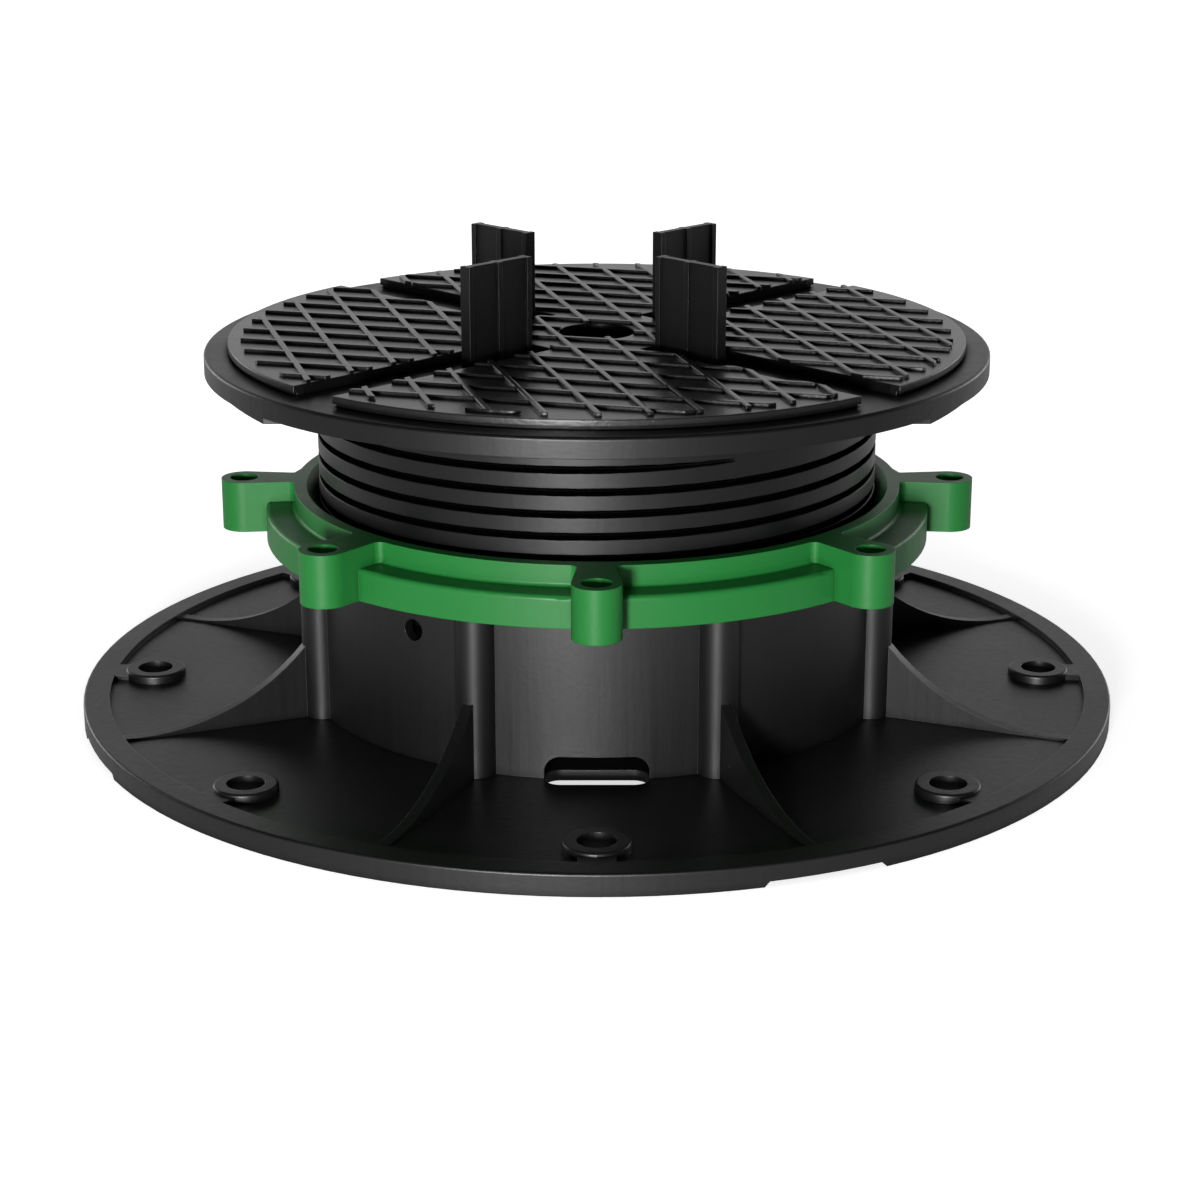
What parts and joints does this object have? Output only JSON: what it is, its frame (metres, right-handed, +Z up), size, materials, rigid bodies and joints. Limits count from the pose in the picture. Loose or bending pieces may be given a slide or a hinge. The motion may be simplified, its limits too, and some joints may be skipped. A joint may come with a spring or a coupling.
{
  "type": "adjustable screw jack pedestal for raised floor tiles",
  "caption": "Screw-jack floor pedestal: a lobed ring nut on a round flanged base raises a threaded head with a ribbed pad and upright tile spacer tabs.",
  "frame": {"origin": "on the ground, at the centre of the base flange's bottom", "axes": "+Z up along the screw axis, +X and +Y level along two of the flange's fixing holes, -Y towards the front"},
  "size_m": [0.2, 0.2, 0.089],
  "materials": {
    "base_plastic": "black polypropylene, satin",
    "ring_plastic": "mid green polypropylene, satin",
    "head_plastic": "black polypropylene, satin",
    "pad_rubber": "black thermoplastic rubber, matt"
  },
  "bodies": {
    "base": {"base": "base_plastic"},
    "ring": {"adjusting_ring": "ring_plastic"},
    "head": {"threaded_head": "head_plastic", "grip_pad": "pad_rubber"}
  },
  "joints": [
    {"name": "ring_spin", "type": "hinge", "parent": "base", "child": "ring", "pos_m": [0, 0, 0.0386], "axis": [0, 0, 1], "range_deg": [-720, 1440]},
    {"name": "head_lift", "type": "slide", "parent": "base", "child": "head", "axis": [0, 0, 1], "range_m": [-0.016, 0.008]}
  ],
  "couplings": [
    {"joint": "head_lift", "follows": "ring_spin", "m_per_rad": -0.00063662}
  ]
}
